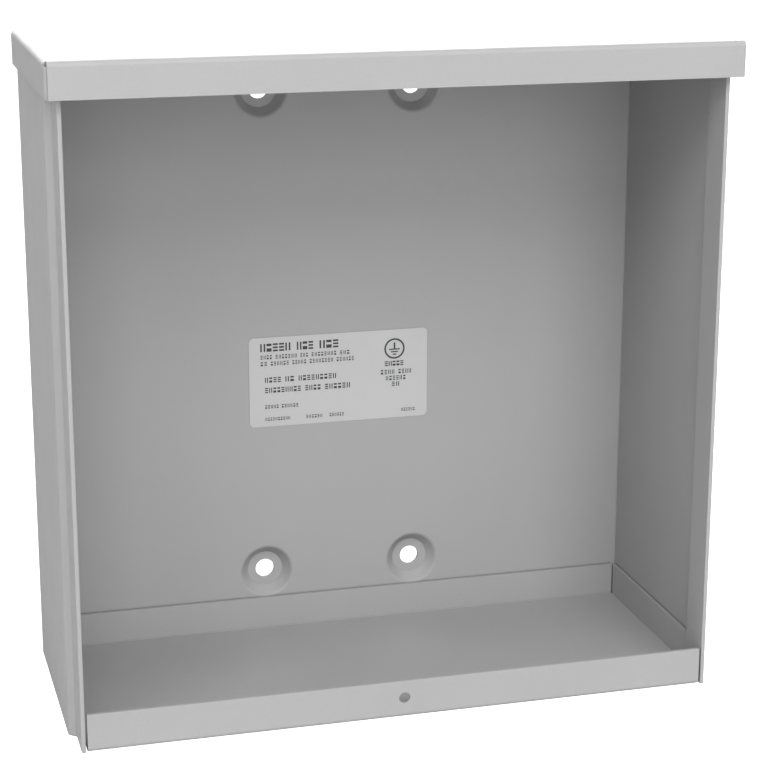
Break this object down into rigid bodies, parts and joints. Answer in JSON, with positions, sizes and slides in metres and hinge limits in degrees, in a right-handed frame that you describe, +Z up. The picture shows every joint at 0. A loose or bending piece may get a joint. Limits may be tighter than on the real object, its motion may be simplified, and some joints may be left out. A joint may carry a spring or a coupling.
{
  "type": "junction box body",
  "caption": "Empty rain-tight wall box in folded light gray sheet steel, open at the front, with an overhanging rain hood, a shallow bottom pan and dimpled wall holes.",
  "frame": {"origin": "centre of the four-hole wall pattern, on the wall plane that the rear faces of the pressed dimples rest on", "axes": "+Z up, +Y into the wall, -Y out of the open front, +X to the right of someone facing the open front"},
  "size_m": [0.2572, 0.1127, 0.2556],
  "materials": {
    "powder_coat": "satin light gray powder coat",
    "label_film": "satin printed polyester film"
  },
  "bodies": {
    "root": {"wrapper": "powder_coat", "rain_hood": "powder_coat", "bottom_pan": "powder_coat", "rating_label": "label_film"}
  },
  "joints": []
}
